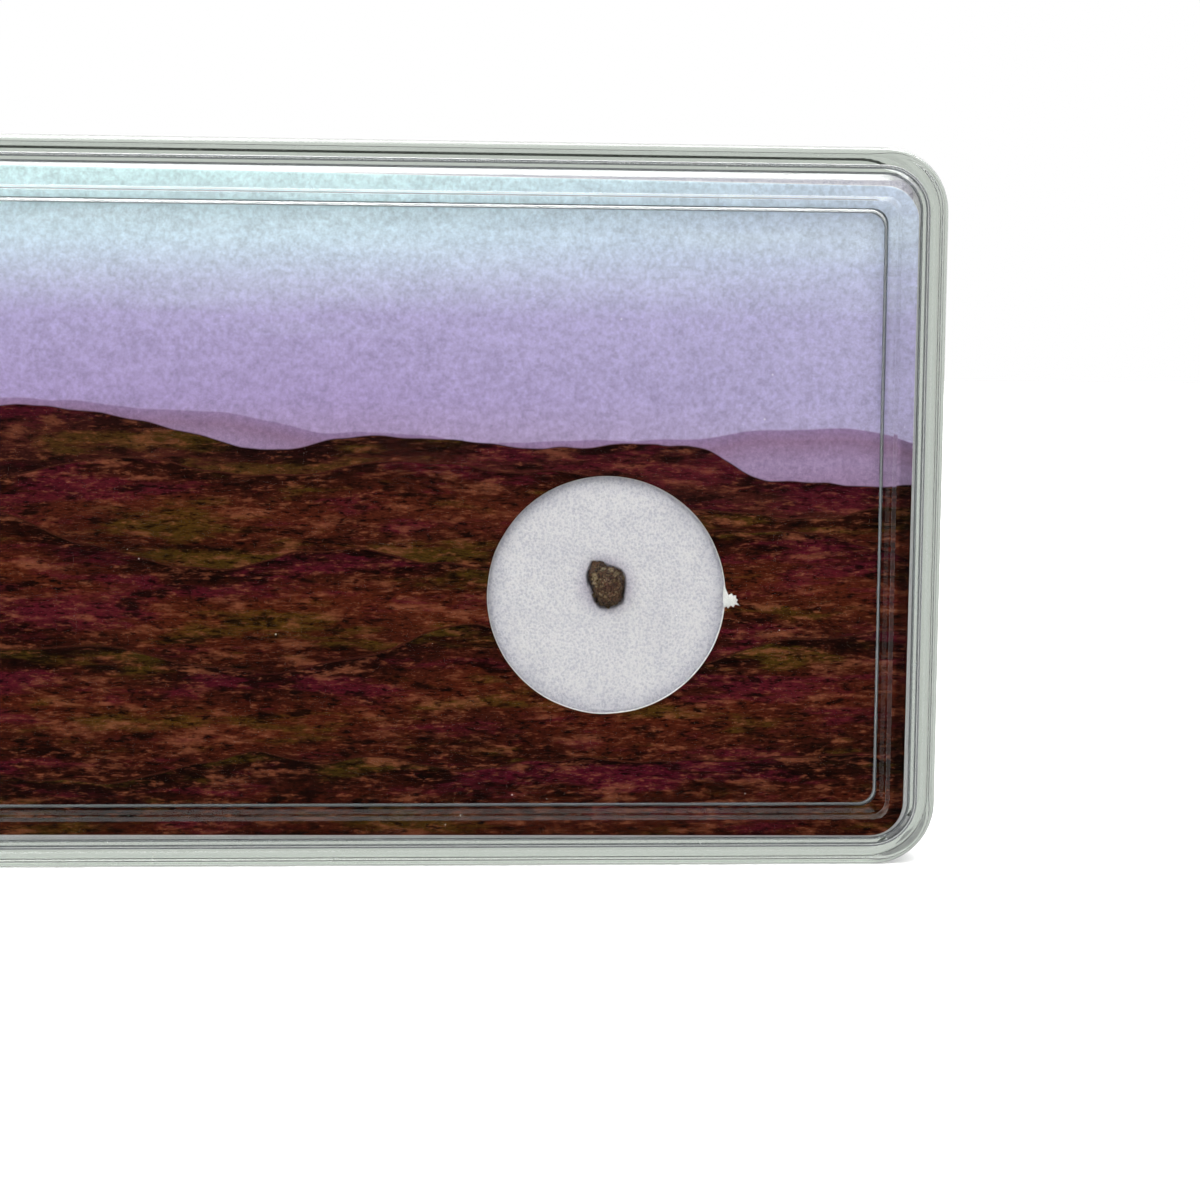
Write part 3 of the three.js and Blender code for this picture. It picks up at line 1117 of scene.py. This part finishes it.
@dataclass
class DisplayBox:
    """The clear box: a lid with a raised window panel, and a base whose lip goes up inside its skirt."""

    plate: float = 1.2
    skirt: float = 1.1
    clearance: float = 0.12
    lip: float = 0.5
    lip_short: float = 0.15
    rim_drop: float = 0.9
    outer_edge: float = 0.5
    back_edge: float = 0.3
    panel_inset: float = 3.25
    panel_edge: float = 0.33
    panel_fillet: float = 0.04
    recess_inset: float = 4.1
    recess_draft: float = 0.12
    recess_fillet: float = 0.08
    cavity_fillet: float = 0.08
    small_edge: float = 0.1
    base_seed: float = 40.0
    # The dark, half-clear plastic set by the next two fields is painted shade: it draws dark lines along
    # some bends.
    shade_strip_clearness: float = 0.55
    shade_strip_body: Colour = (0.2, 0.21, 0.23)
    corner: float = 4.2
    panel_corner: float = 1.0
    recess_corner: float = 1.1
    inner_gap: float = 2.0
    inner_corner: float = 0.55
    lid_low: Vector = field(default_factory=lambda: frame_box("lid")[0])
    lid_high: Vector = field(default_factory=lambda: frame_box("lid")[1])
    base_low: Vector = field(default_factory=lambda: frame_box("base")[0])
    base_high: Vector = field(default_factory=lambda: frame_box("base")[1])

    def cavity_inset(self) -> float:
        """How far the inside of the base's wall lies from the outline."""
        return self.skirt + self.clearance + self.lip

    def outline(self) -> RoundedBox:
        """Gives the outline that all levels of both trays follow.

        Returns:
            The rounded rectangle, with the corners that it has further in.
        """
        inset = self.cavity_inset()
        return RoundedBox(
            half_width=self.lid_high.x,
            half_height=self.lid_high.z / 2,
            corner=self.corner,
            wall_corner=(inset, self.corner - inset),
            panel_corners=(
                (self.panel_inset, self.panel_corner),
                (self.recess_inset, self.recess_corner),
                (self.recess_inset + self.inner_gap, self.inner_corner),
            ),
        )

    def lid_section(self) -> list[Bend]:
        """Gives the lid's section.

        Returns:
            Its bends, from the panel's face round the skirt to the panel's underside.
        """
        face = self.lid_low.y
        rim = face + self.rim_drop
        end = self.lid_high.y
        middle = self.lid_high.z / 3
        return [
            Bend(middle, face),
            Bend(self.panel_inset + self.panel_edge, face, self.panel_fillet),
            Bend(self.panel_inset, face + self.panel_edge, self.panel_fillet),
            Bend(self.panel_inset, rim, self.panel_fillet),
            Bend(0.0, rim, self.outer_edge),
            Bend(0.0, end, self.small_edge),
            Bend(self.skirt, end, self.small_edge),
            # The next three bends carry painted shade lines.
            Bend(self.skirt, rim + self.plate, self.cavity_fillet, BendShade.PAINTED_SHADE),
            Bend(self.recess_inset, rim + self.plate, self.recess_fillet, BendShade.PAINTED_SHADE),
            Bend(self.recess_inset + self.recess_draft, face + self.plate, self.recess_fillet, BendShade.PAINTED_SHADE),
            Bend(middle, face + self.plate),
        ]

    def base_section(self) -> list[Bend]:
        """Gives the base's section.

        Returns:
            Its bends, from the floor's outside round the lip to the floor's inside.
        """
        back = self.base_high.y
        shelf = self.lid_high.y + self.lip_short
        tip = self.base_low.y
        inside = self.cavity_inset()
        outside = inside - self.lip
        middle = self.lid_high.z / 3
        return [
            Bend(middle, back),
            Bend(0.0, back, self.back_edge),
            Bend(0.0, shelf, self.small_edge),
            Bend(outside, shelf, 0.5 * self.small_edge),
            # The lip's two tip bends carry painted shade lines.
            Bend(outside, tip, self.small_edge, BendShade.PAINTED_SHADE),
            Bend(inside, tip, self.small_edge, BendShade.PAINTED_SHADE),
            Bend(inside, back - self.plate, self.cavity_fillet),
            Bend(middle, back - self.plate),
        ]

    def build(self) -> None:
        """Makes the lid and the base."""
        outline = self.outline()
        lid = outline.mesh("lid_shell", self.lid_section())
        base = outline.mesh("base_shell", self.base_section())
        # Painted shade: a dark, half-clear plastic for the dark lines along some bends.
        worn = ClearPlastic("painted_shade_plastic", clearness=self.shade_strip_clearness, body=self.shade_strip_body).make()
        lid_clear = ClearPlastic("lid_plastic").make()
        base_clear = ClearPlastic("base_plastic", seed=self.base_seed).make()
        add_piece("clear_lid", lid, [lid_clear, worn], "lid")
        add_piece("clear_base", base, [base_clear, worn], "base")


@dataclass
class SpecimenCard:
    """The printed card behind the window, with its punched hole and the fibres torn beside it."""

    corner: float = 2.3
    right_side_lower: float = 0.35
    tilt: float = math.radians(0.25)
    width: float = 75.2
    height: float = 44.1
    hole_diameter: float = 15.9
    hole_x: float = 17.1
    hole_z: float = 18.2
    edge: float = 0.13
    corner_steps: int = 10
    hole_steps: int = 160
    hole_rough: float = 0.03
    hole_waves: float = 4.0
    weld: float = 0.002
    front_tilt: float = -0.9
    tear_outline: tuple[tuple[float, float], ...] = (
        (-0.1, 0.95), (-0.02, 0.6), (0.08, 0.34), (0.24, 0.2), (0.48, 0.34), (0.56, 0.16), (0.78, 0.2),
        (0.76, -0.02), (0.9, -0.12), (0.8, -0.26), (1.02, -0.5), (0.7, -0.42), (0.6, -0.62),
        (0.42, -0.5), (0.24, -0.7), (0.12, -0.56), (-0.06, -0.66), (-0.12, -0.2), (-0.14, 0.3),
    )
    tear_levels: tuple[tuple[float, float], ...] = ((1.0, 0.0), (0.93, -0.03), (0.7, -0.07), (0.35, -0.1))
    tear_drop: float = 0.15
    tear_splits: int = 4
    tear_ragged: float = 0.05
    tear_ragged_scale: float = 9.0
    tear_wave: float = 0.02
    tear_wave_scale: float = 5.0
    low: Vector = field(default_factory=lambda: frame_box("card")[0])
    high: Vector = field(default_factory=lambda: frame_box("card")[1])

    def outline(self) -> Ring:
        """Walks once round the card, before it is tilted.

        Returns:
            Its points, as x and z from the box's middle.
        """
        side = self.width / 2
        bottom = -self.height / 2
        top_left = bottom + self.height
        top_right = top_left - self.right_side_lower
        corners = ((side, top_right, 0), (-side, top_left, 1), (-side, bottom, 2), (side, bottom, 3))
        points: Ring = []
        for x, z, quarter in corners:
            middle_x = x - math.copysign(self.corner, x)
            middle_z = z - math.copysign(self.corner, z)
            for step in range(self.corner_steps + 1):
                angle = (quarter + step / self.corner_steps) * math.pi / 2
                points.append((middle_x + self.corner * math.cos(angle),
                               middle_z + self.corner * math.sin(angle)))
        return points

    def hole(self) -> Ring:
        """Walks once round the hole, whose rim is a little uneven.

        Returns:
            Its points, as x and z from the box's bottom middle.
        """
        points: Ring = []
        for step in range(self.hole_steps):
            angle = 2 * math.pi * step / self.hole_steps
            wave = Vector((self.hole_waves * math.cos(angle), self.hole_waves * math.sin(angle), 3.0))
            radius = self.hole_diameter / 2 + self.hole_rough * noise.noise(wave)
            points.append((self.hole_x + radius * math.cos(angle), self.hole_z + radius * math.sin(angle)))
        return points

    def sheet_mesh(self) -> bpy.types.Mesh:
        """Fills the outline round the hole and gives it the card's thickness.

        Returns:
            The card's mesh, in metres, with the print on its first material.
        """
        middle = self.high.z - (self.high.z - self.low.z) / 2
        turn = Matrix.Rotation(-self.tilt, 2)
        tilted = [turn @ Vector(point) + Vector((0, middle)) for point in self.outline()]
        curve = bpy.data.curves.new("card_outline", "CURVE")
        curve.dimensions = "2D"
        curve.fill_mode = "BOTH"
        thickness = self.high.y - self.low.y
        curve.extrude = (thickness / 2 - self.edge) * MM
        curve.bevel_depth = self.edge * MM
        curve.bevel_resolution = 1
        curve.offset = -self.edge * MM
        for ring in (tilted, self.hole()):
            spline = curve.splines.new("POLY")
            spline.points.add(len(ring) - 1)
            for point, (x, z) in zip(spline.points, ring):
                point.co = (x * MM, z * MM, 0, 1)
            spline.use_cyclic_u = True
        holder = bpy.data.objects.new("card_outline", curve)
        bpy.context.scene.collection.objects.link(holder)
        evaluated = holder.evaluated_get(bpy.context.evaluated_depsgraph_get())
        mesh = bpy.data.meshes.new_from_object(evaluated)
        bpy.data.objects.remove(holder)
        upright = Matrix.Rotation(math.pi / 2, 4, "X")
        mesh.transform(Matrix.Translation((0, (self.low.y + thickness / 2) * MM, 0)) @ upright)
        self.clean(mesh)
        self.mark_print(mesh)
        return mesh

    def clean(self, mesh: bpy.types.Mesh) -> None:
        """Welds the sheet's seams, so that it is one closed body.

        Args:
            mesh: the card's mesh.
        """
        shape = bmesh.new()
        shape.from_mesh(mesh)
        bmesh.ops.remove_doubles(shape, verts=shape.verts[:], dist=self.weld * MM)
        bmesh.ops.recalc_face_normals(shape, faces=shape.faces[:])
        shape.to_mesh(mesh)
        shape.free()

    def mark_print(self, mesh: bpy.types.Mesh) -> None:
        """Puts the print on the front and bare paper elsewhere.

        Args:
            mesh: the card's mesh.
        """
        for polygon in mesh.polygons:
            polygon.material_index = 0 if polygon.normal.y < self.front_tilt else 1
            polygon.use_smooth = False

    def tear_mesh(self) -> bpy.types.Mesh:
        """Makes the fleck of torn paper that lies on the print at the hole's right.

        Returns:
            The fleck's mesh, in metres.
        """
        shape = bmesh.new()
        root = Vector((self.hole_x + self.hole_diameter / 2, self.hole_z - self.tear_drop))
        outline = [Vector(point) for point in self.tear_outline]
        centre = sum(outline, Vector((0, 0))) / len(outline)
        steps = self.tear_splits * len(outline)
        levels = []
        for share, lift in self.tear_levels:
            level = []
            for step in range(steps):
                side, split = divmod(step, self.tear_splits)
                point = outline[side].lerp(outline[(side + 1) % len(outline)], split / self.tear_splits)
                ragged = self.tear_ragged * noise.noise(Vector((*(self.tear_ragged_scale * point), 4.0)))
                point = root + centre + (point - centre) * share * (1 + ragged)
                wave = self.tear_wave * noise.noise(Vector((*(self.tear_wave_scale * point), 1.0)))
                depth = self.low.y + lift + wave * (share < 1)
                level.append(shape.verts.new((point.x * MM, depth * MM, point.y * MM)))
            levels.append(level)
        for low, high in zip(levels, levels[1:]):
            for i in range(steps):
                shape.faces.new((low[i], low[(i + 1) % steps], high[(i + 1) % steps], high[i]))
        shape.faces.new(levels[-1])
        shape.faces.new(reversed(levels[0]))
        return smooth_mesh(shape, "torn_paper")

    def build(self) -> None:
        """Makes the card and the torn fleck on it."""
        paper = WhitePaper("bare_paper").make()
        printed = DunePrint("dune_print", top=self.high.z).make()
        add_piece("printed_card", self.sheet_mesh(), [printed, paper], "card")
        add_piece("torn_paper", self.tear_mesh(), [paper])


@dataclass
class FoamPad:
    """The foam pad behind the card: it swells a little into the hole and gives under the stone."""

    card: SpecimenCard
    stone_x: float
    stone_z: float
    edge: float = 0.6
    coarse: float = 0.8
    fine: float = 0.22
    finest: float = 0.09
    near_stone: float = 2.1
    hole_margin: float = 0.4
    swell: float = 0.16
    dent_depth: float = 1.1
    crease: float = 0.2
    hug: float = 0.12
    give: float = 0.1
    give_fall: float = 2.5
    grain_height: float = 0.05
    grain_scale: float = 1.1
    grain_fade: float = 1.0
    grain_step: float = 2.1
    grain_layers: int = 4
    grain_sideways: float = 0.4
    fill: float = 0.8
    stone_outline: tuple[tuple[float, float], ...] = (
        (-1.0, 1.58), (-0.27, 1.58), (-0.13, 1.38), (0.73, 1.12), (1.07, 0.92), (1.27, 0.45),
        (1.3, 0.05), (1.23, -0.42), (1.2, -0.95), (1.07, -1.28), (0.67, -1.45), (0.4, -1.58),
        (-0.4, -1.58), (-0.6, -1.35), (-0.8, -1.08), (-0.87, -0.62), (-1.07, -0.22), (-1.23, -0.02),
        (-1.3, 0.52), (-1.2, 1.05),
    )
    low: Vector = field(default_factory=lambda: frame_box("foam_pad")[0])
    high: Vector = field(default_factory=lambda: frame_box("foam_pad")[1])

    def stations(self, low: float, high: float, hole: float, stone: float) -> list[float]:
        """Spaces grid lines: closely across the hole, most closely round the stone, and loosely elsewhere.

        Args:
            low: where the lines start.
            high: where they end.
            hole: the hole's middle.
            stone: the stone's middle.

        Returns:
            The places of the lines.
        """
        reach = self.card.hole_diameter / 2 + self.hole_margin
        ends = [low, hole - reach, stone - self.near_stone, stone + self.near_stone, hole + reach, high]
        pitches = (self.coarse, self.fine, self.finest, self.fine, self.coarse)
        places = []
        for start, end, pitch in zip(ends, ends[1:], pitches):
            count = max(1, round((end - start) / pitch))
            places.extend(start + (end - start) * i / count for i in range(count))
        return [*places, high]

    def mesh(self) -> bpy.types.Mesh:
        """Builds the pad as a fine, closed block and shapes it.

        Returns:
            The pad's mesh, in metres.
        """
        columns = self.stations(self.low.x, self.high.x, self.card.hole_x, self.stone_x)
        rows = self.stations(self.low.z, self.high.z, self.card.hole_z, self.stone_z)
        depth = self.high.y - self.low.y
        count = round(depth / self.coarse)
        layers = [self.low.y + depth * i / count for i in range(count + 1)]
        shape = bmesh.new()
        made: dict[tuple[int, int, int], bmesh.types.BMVert] = {}

        def corner(i: int, j: int, k: int) -> bmesh.types.BMVert:
            """Finds or makes a point of the block.

            Args:
                i: the point's column.
                j: its layer.
                k: its row.

            Returns:
                The point.
            """
            if (i, j, k) not in made:
                made[i, j, k] = shape.verts.new(self.shaped(Vector((columns[i], layers[j], rows[k]))) * MM)
            return made[i, j, k]

        last = (len(columns) - 1, len(layers) - 1, len(rows) - 1)
        for axis in range(3):
            one, two = [other for other in range(3) if other != axis]
            for level in (0, last[axis]):
                for a in range(last[one]):
                    for b in range(last[two]):
                        index = [[0, 0, 0] for _ in range(4)]
                        for place, (da, db) in zip(index, ((0, 0), (1, 0), (1, 1), (0, 1))):
                            place[axis], place[one], place[two] = level, a + da, b + db
                        shape.faces.new([corner(*place) for place in index])
        return smooth_mesh(shape, "foam")

    def shaped(self, point: Vector) -> Vector:
        """Moves a point of the plain block to where the soft pad has it.

        Args:
            point: its place on the block, in millimetres.

        Returns:
            Its place on the pad.
        """
        moved = self.rounded(point)
        if point.y == self.low.y:
            moved.y += self.front_relief(moved)
        return moved + self.grain(moved)

    def rounded(self, point: Vector) -> Vector:
        """Rounds the block's edges.

        Args:
            point: a place on the block.

        Returns:
            Its place on the rounded block.
        """
        inner_low = self.low + Vector((self.edge,) * 3)
        inner_high = self.high - Vector((self.edge,) * 3)
        core = Vector(min(max(p, a), b) for p, a, b in zip(point, inner_low, inner_high))
        away = point - core
        if away.length < 1e-6:
            return point.copy()
        return core + away.normalized() * min(self.edge, max(abs(value) for value in away))

    def front_relief(self, point: Vector) -> float:
        """Gives how far the pad's face lies back from its plane.

        Args:
            point: a place on the face.

        Returns:
            Millimetres towards the back.
        """
        out = math.hypot(point.x - self.card.hole_x, point.z - self.card.hole_z)
        share = min(1.0, out / (self.card.hole_diameter / 2))
        swell = -self.swell * (1 - share ** 4)
        return swell + self.dent(Vector((point.x - self.stone_x, point.z - self.stone_z)))

    def dent(self, point: Vector) -> float:
        """Gives how far the stone presses the pad in.

        Args:
            point: a place from the stone's middle, as x and z.

        Returns:
            Millimetres towards the back.
        """
        if point.length > 2 * self.near_stone:
            return 0.0
        outline = [Vector(corner) for corner in self.stone_outline]
        inside = False
        nearest = math.inf
        for start, end in zip(outline, outline[1:] + outline[:1]):
            along = end - start
            share = min(1.0, max(0.0, (point - start).dot(along) / along.length_squared))
            nearest = min(nearest, (point - start - along * share).length)
            if (start.y > point.y) != (end.y > point.y):
                inside ^= point.x < start.x + (point.y - start.y) * along.x / along.y
        away = -nearest if inside else nearest
        pressed = min(1.0, max(0.0, (self.crease - self.hug - away) / (2 * self.crease)))
        give = self.give * math.exp(-self.give_fall * max(0.0, away))
        return self.dent_depth * pressed * pressed * (3 - 2 * pressed) + give

    def grain(self, point: Vector) -> Vector:
        """Gives the foam's own unevenness at a point.

        Args:
            point: a place on the pad.

        Returns:
            A small move, inwards along the pad's depth and a little to one side.
        """
        rough = noise.fractal(point * self.grain_scale, self.grain_fade, self.grain_step, self.grain_layers)
        height = self.grain_height * rough
        sideways = self.grain_sideways * height
        return Vector((sideways, abs(height) * (1 if point.y < 0 else -1), sideways))

    def build(self) -> None:
        """Makes the pad."""
        card = self.card
        finish = SoftFoam(
            "foam_grain", card.hole_x, card.hole_z, card.hole_diameter / 2, self.stone_z, face_y=self.low.y,
        )
        foam = add_piece("white_foam", self.mesh(), [finish.make()], "foam_pad")


@dataclass
class MeteoriteFragment:
    """The stone: the frame's crystal faces, worked over into grains, cleavage steps and pits."""

    voxel: float = 0.032
    grain_size: float = 0.34
    grain_relief: float = 0.13
    pit_size: float = 0.16
    pit_depth: float = 0.07
    fine_size: float = 0.07
    fine_relief: float = 0.02
    fine_fade: float = 0.9
    fine_step: float = 2.2
    fine_layers: int = 3
    bend_scale: float = 2.5
    bend: float = 0.1
    tilt_scale: float = 7.3
    facet_share: float = 0.55
    step_scale: float = 5.1
    step_share: float = 0.5
    sink: float = 0.75
    seam_width: float = 0.22
    seam_depth: float = 0.03
    pit_width: float = 0.42
    pit_parts_scale: float = 1.7
    pit_parts_from: float = 0.02
    regain: float = 0.01
    foot_trim: float = 0.12
    low: Vector = field(default_factory=lambda: frame_box("meteorite")[0])
    high: Vector = field(default_factory=lambda: frame_box("meteorite")[1])

    def middle(self) -> Vector:
        """The middle of the stone's box, in millimetres."""
        return (self.low + self.high) / 2

    def remeshed(self) -> bpy.types.Mesh:
        """Copies the frame's stone into a new, evenly fine mesh.

        Returns:
            The new mesh.
        """
        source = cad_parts["meteorite"]
        copy = bpy.data.objects.new("stone_work", source.data.copy())
        bpy.context.scene.collection.objects.link(copy)
        bpy.context.view_layer.objects.active = copy
        remesh = copy.modifiers.new("even", "REMESH")
        remesh.mode = "VOXEL"
        remesh.voxel_size = self.voxel * MM
        evaluated = copy.evaluated_get(bpy.context.evaluated_depsgraph_get())
        mesh = bpy.data.meshes.new_from_object(evaluated)
        bpy.data.objects.remove(copy)
        return mesh

    def relief(self, point: Vector) -> float:
        """Gives how far the surface stands in from the frame's face.

        Args:
            point: a place on the stone, in millimetres from its middle.

        Returns:
            Millimetres along the normal; negative is inwards.
        """
        bent = point + self.bend * noise.noise_vector(point * self.bend_scale)
        distances, places = noise.voronoi(bent / self.grain_size)
        own = Vector(places[0])
        tilt = noise.noise_vector(own * self.tilt_scale).normalized()
        facet = (bent / self.grain_size - own).dot(tilt)
        step = noise.cell(own * self.step_scale)
        seam = min(1.0, (distances[1] - distances[0]) / self.seam_width)
        pits, _ = noise.voronoi(point / self.pit_size + Vector((5, 3, 9)))
        pitted = noise.noise(point * self.pit_parts_scale) > self.pit_parts_from
        pit = max(0.0, self.pit_width - pits[0]) / self.pit_width * pitted
        fine = noise.fractal(point / self.fine_size, self.fine_fade, self.fine_step, self.fine_layers)
        height = self.grain_relief * (self.facet_share * facet + self.step_share * step - self.sink)
        height -= self.seam_depth * (1 - seam)
        return height - self.pit_depth * pit + self.fine_relief * fine + self.regain

    def mesh(self) -> bpy.types.Mesh:
        """Works the fine mesh over.

        Returns:
            The stone's mesh, in metres.
        """
        mesh = self.remeshed()
        middle = self.middle()
        moves = []
        for vertex in mesh.vertices:
            move = self.relief(vertex.co / MM - middle) - self.foot_trim * max(0.0, -vertex.normal.z)
            moves.append(vertex.normal * (move * MM))
        for vertex, move in zip(mesh.vertices, moves):
            vertex.co += move
        mesh.materials.clear()
        for polygon in mesh.polygons:
            polygon.use_smooth = True
        return mesh

    def build(self) -> None:
        """Makes the stone."""
        rock = CrystallineRock("rock_grains", self.middle()).make()
        add_piece("rock_fragment", self.mesh(), [rock], "meteorite")


@dataclass
class Studio:
    """The pale floor, the soft light round it and the camera at the photograph's place."""

    floor_size: float = 6000.0
    lens: float = 72.0
    sensor: float = 36.0
    clip: Edge = (5.0, 10000.0)
    camera_place: Place = (6.0, -166.0, 34.4)
    yaw: float = math.radians(3.83)
    pitch: float = math.radians(-5.90)
    roll: float = math.radians(0.56)
    front: float = 1.25
    behind: float = 0.8
    behind_edge: Edge = (-0.25, 0.25)
    above: float = 1.3
    above_edge: Edge = (0.25, 0.9)
    overhead: float = 3.4
    overhead_edge: Edge = (0.8, 1.0)
    beside: float = -0.6
    beside_edge: Edge = (0.8, 1.0)
    below: float = 0.8
    below_edge: Edge = (-0.5, -0.85)
    lamp: float = 9.5
    lamp_side: Place = (-0.423, -0.508, 0.750)
    lamp_edge: Edge = (0.86, 0.98)
    mirrored: Place = (0.05, -0.993, -0.1)
    mirrored_edge: Edge = (0.87, 0.955)
    mirrored_height: float = -0.065
    mirrored_reach: Edge = (0.17, 0.24)
    mirror_depth: float = 2.5

    def floor(self) -> None:
        """Lays the floor."""
        half = self.floor_size / 2 * MM
        mesh = bpy.data.meshes.new("floor")
        corners = [(-half, -half, 0), (half, -half, 0), (half, half, 0), (-half, half, 0)]
        mesh.from_pydata(corners, [], [(0, 1, 2, 3)])
        mesh.materials.append(PaleFloor("pale_floor").make())
        floor = bpy.data.objects.new("floor", mesh)
        bpy.context.scene.collection.objects.link(floor)
        floor.visible_glossy = False
        floor.visible_transmission = False

    def camera(self) -> None:
        """Places the camera."""
        sin, cos = math.sin, math.cos
        forward = Vector((sin(self.yaw) * cos(self.pitch), cos(self.yaw) * cos(self.pitch), sin(self.pitch)))
        level = Vector((cos(self.yaw), -sin(self.yaw), 0))
        upright = level.cross(forward)
        right = level * cos(self.roll) + upright * sin(self.roll)
        up = upright * cos(self.roll) - level * sin(self.roll)
        lens = bpy.data.cameras.new("camera")
        lens.lens = self.lens
        lens.sensor_width = self.sensor
        lens.clip_start, lens.clip_end = (distance * MM for distance in self.clip)
        camera = bpy.data.objects.new("camera", lens)
        turn = Matrix((right, up, -forward)).transposed().to_4x4()
        camera.matrix_world = Matrix.Translation(Vector(self.camera_place) * MM) @ turn
        bpy.context.scene.collection.objects.link(camera)
        bpy.context.scene.camera = camera

    def sky(self) -> None:
        """Makes the soft light from all round, brightest from above on the left.

        It is dark only where the window would mirror the camera.
        """
        world = bpy.data.worlds.new("studio")
        bpy.context.scene.world = world
        world.use_nodes = True
        world.cycles.sampling_method = "NONE"
        g = Graph(world.node_tree)
        direction = g.node("TexCoord").outputs["Generated"]
        x, y, z = g.axes(direction)
        level = g.math("MULTIPLY_ADD", g.step(y, *self.behind_edge), self.behind - self.front, self.front)
        level = g.math("MULTIPLY_ADD", g.step(z, *self.above_edge), self.above, level)
        level = g.math("MULTIPLY_ADD", g.step(z, *self.overhead_edge), self.overhead, level)
        side = g.step(g.math("ABSOLUTE", x), *self.beside_edge)
        level = g.math("MULTIPLY_ADD", side, self.beside, level)
        under = g.math("MULTIPLY_ADD", g.step(z, *self.below_edge), -self.below, 1.0)
        level = g.math("MULTIPLY", level, under)
        lamp = self.patch(g, direction, self.lamp_side, self.lamp_edge)
        level = g.math("MULTIPLY_ADD", lamp, self.lamp, level)
        path = g.node("LightPath")
        shallow = g.math("LESS_THAN", path.outputs["Transmission Depth"], self.mirror_depth)
        away = g.math("ABSOLUTE", g.math("SUBTRACT", z, self.mirrored_height))
        steep = g.step(away, *self.mirrored_reach)
        dark = g.math("MULTIPLY", self.patch(g, direction, self.mirrored, self.mirrored_edge), shallow)
        dark = g.math("MULTIPLY", dark, g.math("SUBTRACT", 1.0, steep))
        level = g.math("MULTIPLY", level, g.math("SUBTRACT", 1.0, dark))
        choose = g.node("MixShader")
        g.feed(choose.inputs[0], path.outputs["Is Camera Ray"])
        for socket, strength in ((choose.inputs[1], level), (choose.inputs[2], 1.0)):
            light = g.node("Background")
            g.feed(light.inputs["Color"], WHITE)
            g.feed(light.inputs["Strength"], strength)
            g.feed(socket, light.outputs[0])
        g.feed(g.node("OutputWorld").inputs["Surface"], choose.outputs[0])

    def patch(self, g: Graph, direction: Socket, middle: Place, edge: Edge) -> Socket:
        """Marks a soft round patch of the sky.

        Args:
            g: the world's graph.
            direction: where the ray goes.
            middle: the direction of the patch's middle.
            edge: the cosines where the patch starts and where it is full.

        Returns:
            1 in the patch, 0 outside it.
        """
        facing = g.node("VectorMath", operation="DOT_PRODUCT")
        g.feed(facing.inputs[0], direction)
        g.feed(facing.inputs[1], middle)
        return g.step(facing.outputs["Value"], *edge)

    def build(self) -> None:
        """Makes the floor, the light and the camera, and keeps colours plain."""
        cycles = bpy.context.scene.cycles
        cycles.max_bounces = 14
        cycles.diffuse_bounces = 2
        cycles.glossy_bounces = 6
        cycles.transmission_bounces = 12
        self.floor()
        self.sky()
        self.camera()
        bpy.context.scene.view_settings.view_transform = "Standard"


def main() -> None:
    """Builds the stage and the dressed object."""
    logging.basicConfig(level=logging.INFO, format="%(name)s: %(message)s")
    noise.seed_set(NOISE_SEED)
    Studio().build()
    DisplayBox().build()
    card = SpecimenCard()
    card.build()
    stone = MeteoriteFragment()
    FoamPad(card, stone_x=card.hole_x, stone_z=stone.middle().z).build()
    stone.build()


if __name__ == "__main__":
    main()
